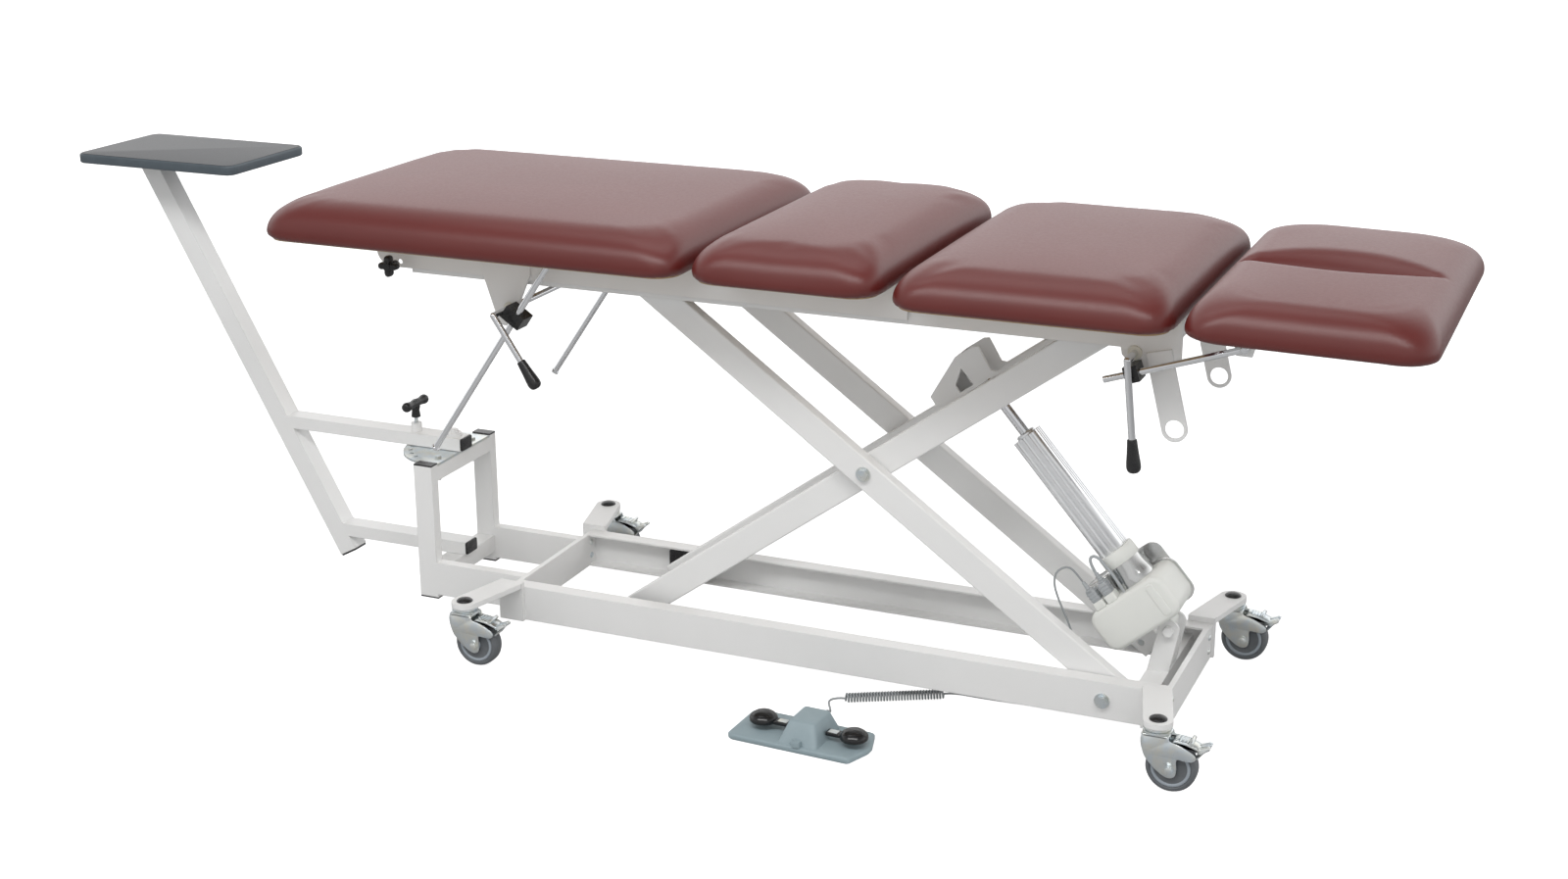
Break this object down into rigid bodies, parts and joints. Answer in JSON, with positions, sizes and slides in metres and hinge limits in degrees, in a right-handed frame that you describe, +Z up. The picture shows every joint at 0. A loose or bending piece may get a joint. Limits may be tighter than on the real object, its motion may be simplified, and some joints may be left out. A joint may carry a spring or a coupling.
{
  "type": "hi-lo traction treatment table",
  "caption": "Electric hi-lo treatment table on a scissor lift with burgundy cushions, tilting leg and head sections, swing-out traction shelf, casters and foot switch.",
  "frame": {"origin": "on the floor, under the middle of the whole object's box without the cord and its plug", "axes": "+X towards the head end, +Y away from the foot switch, +Z up"},
  "size_m": [2.7092, 0.764, 0.884],
  "materials": {
    "white_coat": "satin powder coat",
    "zinc": "bright zinc plate",
    "chrome_rod": "polished",
    "black_plastic": "satin",
    "grey_plastic": "satin",
    "cream_plastic": "satin",
    "aluminium_profile": "anodised",
    "motor_steel": "satin casting",
    "vinyl": "soft sheen upholstery",
    "plywood": "black underside",
    "nylon": "natural",
    "grey_rubber": "matt",
    "shelf_laminate": "black laminate with black edge"
  },
  "bodies": {
    "base": {"base_frame": "white_coat", "caster_arms": "white_coat", "base_caps": "black_plastic", "stand_post_frame": "white_coat", "quadrant_plate": "zinc", "base_bolts": "zinc", "tail_bracket": "white_coat", "foot_switch": "grey_plastic", "foot_cord": "grey_rubber", "foot_cord_coil": "grey_rubber"},
    "outer_legs": {"outer_leg_frame": "white_coat", "mid_pivot_bolts": "zinc"},
    "inner_legs": {"inner_leg_frame": "white_coat"},
    "lower_slides": {"lower_slides": "black_plastic"},
    "upper_slides": {"upper_slides": "black_plastic"},
    "top": {"top_frame": "white_coat", "top_bolts_and_bushes": "zinc", "accessory_plates": "white_coat", "thoracic_board": "plywood", "thoracic_cushion": "vinyl"},
    "carriage": {"carriage_frame": "white_coat", "glide_pads": "nylon", "foot_clamps": "black_plastic", "pelvic_board": "plywood", "pelvic_cushion": "vinyl"},
    "glide_lock": {"glide_knob": "black_plastic"},
    "leg_section": {"leg_board": "plywood", "leg_cushion": "vinyl"},
    "foot_props": {"foot_rods": "zinc"},
    "foot_release": {"foot_lever": "zinc", "foot_grip": "black_plastic"},
    "head_section": {"head_board": "plywood", "head_cushion": "vinyl"},
    "head_struts": {"head_rods": "zinc"},
    "head_strut_clamps": {"head_clamps": "black_plastic"},
    "head_release": {"head_lever": "zinc", "head_grip": "black_plastic"},
    "actuator": {"actuator_tube": "aluminium_profile", "gear_motor": "motor_steel", "control_box": "cream_plastic", "cord_plug": "grey_rubber", "loop_cable": "grey_rubber"},
    "actuator_rod": {"actuator_rod": "chrome_rod"},
    "stand": {"stand_frame": "white_coat", "stand_shelf_and_caps": "shelf_laminate"},
    "plunger": {"t_handle": "black_plastic"},
    "treadle_left": {"pad_left": "black_plastic"},
    "treadle_right": {"pad_right": "black_plastic"},
    "fork_head_near": {"caster_fork_head_near": "zinc"},
    "wheel_head_near": {"caster_wheel_head_near": "grey_rubber"},
    "pedal_head_near": {"caster_pedal_head_near": "zinc"},
    "fork_head_far": {"caster_fork_head_far": "zinc"},
    "wheel_head_far": {"caster_wheel_head_far": "grey_rubber"},
    "pedal_head_far": {"caster_pedal_head_far": "zinc"},
    "fork_foot_near": {"caster_fork_foot_near": "zinc"},
    "wheel_foot_near": {"caster_wheel_foot_near": "grey_rubber"},
    "pedal_foot_near": {"caster_pedal_foot_near": "zinc"},
    "fork_foot_far": {"caster_fork_foot_far": "zinc"},
    "wheel_foot_far": {"caster_wheel_foot_far": "grey_rubber"},
    "pedal_foot_far": {"caster_pedal_foot_far": "zinc"}
  },
  "joints": [
    {"name": "lift", "type": "hinge", "parent": "base", "child": "outer_legs", "pos_m": [0.82549, 0.03902, 0.0798], "axis": [0, 1, 0], "range_deg": [-19.25, 3]},
    {"name": "scissor_cross", "type": "hinge", "parent": "outer_legs", "child": "inner_legs", "pos_m": [0.36249, 0.03902, 0.4255], "axis": [0, 1, 0], "range_deg": [-6, 38.5]},
    {"name": "lower_slide_level", "type": "hinge", "parent": "inner_legs", "child": "lower_slides", "pos_m": [-0.10047, 0.03902, 0.07979], "axis": [0, 1, 0], "range_deg": [-19.25, 3]},
    {"name": "upper_slide_level", "type": "hinge", "parent": "outer_legs", "child": "upper_slides", "pos_m": [-0.08012, 0.03902, 0.75601], "axis": [0, 1, 0], "range_deg": [-3, 19.25]},
    {"name": "top_level", "type": "hinge", "parent": "inner_legs", "child": "top", "pos_m": [0.80511, 0.03902, 0.75601], "axis": [0, 1, 0], "range_deg": [-19.25, 3]},
    {"name": "actuator_tilt", "type": "hinge", "parent": "base", "child": "actuator", "pos_m": [0.90549, 0.03902, 0.17], "axis": [0, 1, 0], "range_deg": [-21.7, 3.4]},
    {"name": "actuator_stroke", "type": "slide", "parent": "actuator", "child": "actuator_rod", "axis": [-0.6558, 0, 0.7549], "range_m": [-0.1206, 0.019]},
    {"name": "carriage_glide", "type": "slide", "parent": "top", "child": "carriage", "axis": [-1, 0, 0], "range_m": [0, 0.08]},
    {"name": "glide_lock_turn", "type": "hinge", "parent": "carriage", "child": "glide_lock", "pos_m": [-0.56101, -0.17598, 0.742], "axis": [0, 1, 0], "continuous": true},
    {"name": "leg_section_tilt", "type": "hinge", "parent": "carriage", "child": "leg_section", "pos_m": [0.09849, 0.03902, 0.838], "axis": [0, 1, 0], "range_deg": [0, 30]},
    {"name": "foot_props_slide", "type": "slide", "parent": "carriage", "child": "foot_props", "axis": [0.5635, 0, 0.8261], "range_m": [0, 0.1465]},
    {"name": "foot_release_turn", "type": "hinge", "parent": "carriage", "child": "foot_release", "pos_m": [-0.32481, -0.20098, 0.6757], "axis": [0, 1, 0], "range_deg": [-12, 12]},
    {"name": "head_tilt", "type": "hinge", "parent": "top", "child": "head_section", "pos_m": [0.95549, 0.03902, 0.805], "axis": [0, 1, 0], "range_deg": [-10, 20]},
    {"name": "head_clamp_tilt", "type": "hinge", "parent": "top", "child": "head_strut_clamps", "pos_m": [0.85949, 0.03902, 0.688], "axis": [0, 1, 0], "range_deg": [-3.1, 6.1]},
    {"name": "head_struts_slide", "type": "slide", "parent": "head_strut_clamps", "child": "head_struts", "axis": [0.9487, 0, 0.3161], "range_m": [-0.0297, 0.0149]},
    {"name": "head_release_turn", "type": "hinge", "parent": "top", "child": "head_release", "pos_m": [0.85439, -0.17998, 0.7144], "axis": [0, 1, 0], "range_deg": [-20, 20]},
    {"name": "stand_swivel", "type": "hinge", "parent": "base", "child": "stand", "pos_m": [-0.57251, 0.03902, 0], "axis": [0, 0, 1], "range_deg": [-30, 30]},
    {"name": "plunger_lift", "type": "slide", "parent": "stand", "child": "plunger", "axis": [0, 0, 1], "range_m": [-0.0115, 0], "stiffness_N_per_m": 900},
    {"name": "treadle_right_press", "type": "hinge", "parent": "base", "child": "treadle_right", "pos_m": [0.38622, -0.32464, 0.0255], "axis": [0.0523, 0.9986, 0], "range_deg": [0, 4], "stiffness_Nm_per_rad": 8},
    {"name": "treadle_left_press", "type": "hinge", "parent": "base", "child": "treadle_left", "pos_m": [0.31632, -0.32097, 0.0255], "axis": [-0.0523, -0.9986, 0], "range_deg": [0, 4], "stiffness_Nm_per_rad": 8},
    {"name": "swivel_head_near", "type": "hinge", "parent": "base", "child": "fork_head_near", "pos_m": [0.95458, -0.25484, 0.104], "axis": [0, 0, 1], "continuous": true},
    {"name": "roll_head_near", "type": "hinge", "parent": "fork_head_near", "child": "wheel_head_near", "pos_m": [0.98208, -0.25484, 0.044], "axis": [0, 1, 0], "continuous": true},
    {"name": "brake_head_near", "type": "hinge", "parent": "fork_head_near", "child": "pedal_head_near", "pos_m": [0.94858, -0.25484, 0.09], "axis": [0, 1, 0], "range_deg": [-12, 1]},
    {"name": "swivel_head_far", "type": "hinge", "parent": "base", "child": "fork_head_far", "pos_m": [0.95458, 0.33287, 0.104], "axis": [0, 0, 1], "continuous": true},
    {"name": "roll_head_far", "type": "hinge", "parent": "fork_head_far", "child": "wheel_head_far", "pos_m": [0.98208, 0.33287, 0.044], "axis": [0, 1, 0], "continuous": true},
    {"name": "brake_head_far", "type": "hinge", "parent": "fork_head_far", "child": "pedal_head_far", "pos_m": [0.94858, 0.33287, 0.09], "axis": [0, 1, 0], "range_deg": [-12, 1]},
    {"name": "swivel_foot_near", "type": "hinge", "parent": "base", "child": "fork_foot_near", "pos_m": [-0.38389, -0.25484, 0.104], "axis": [0, 0, 1], "continuous": true},
    {"name": "roll_foot_near", "type": "hinge", "parent": "fork_foot_near", "child": "wheel_foot_near", "pos_m": [-0.35639, -0.25484, 0.044], "axis": [0, 1, 0], "continuous": true},
    {"name": "brake_foot_near", "type": "hinge", "parent": "fork_foot_near", "child": "pedal_foot_near", "pos_m": [-0.38989, -0.25484, 0.09], "axis": [0, 1, 0], "range_deg": [-12, 1]},
    {"name": "swivel_foot_far", "type": "hinge", "parent": "base", "child": "fork_foot_far", "pos_m": [-0.38389, 0.33287, 0.104], "axis": [0, 0, 1], "continuous": true},
    {"name": "roll_foot_far", "type": "hinge", "parent": "fork_foot_far", "child": "wheel_foot_far", "pos_m": [-0.35639, 0.33287, 0.044], "axis": [0, 1, 0], "continuous": true},
    {"name": "brake_foot_far", "type": "hinge", "parent": "fork_foot_far", "child": "pedal_foot_far", "pos_m": [-0.38989, 0.33287, 0.09], "axis": [0, 1, 0], "range_deg": [-12, 1]}
  ],
  "couplings": [
    {"joint": "scissor_cross", "follows": "lift", "ratio": -2},
    {"joint": "lower_slide_level", "follows": "lift", "ratio": 1},
    {"joint": "upper_slide_level", "follows": "lift", "ratio": -1},
    {"joint": "top_level", "follows": "lift", "ratio": 1},
    {"joint": "actuator_tilt", "follows": "lift", "ratio": 1.125},
    {"joint": "actuator_stroke", "follows": "lift", "m_per_rad": 0.358},
    {"joint": "foot_props_slide", "follows": "leg_section_tilt", "m_per_rad": 0.279},
    {"joint": "head_clamp_tilt", "follows": "head_tilt", "ratio": 0.3},
    {"joint": "head_struts_slide", "follows": "head_tilt", "m_per_rad": -0.085}
  ]
}
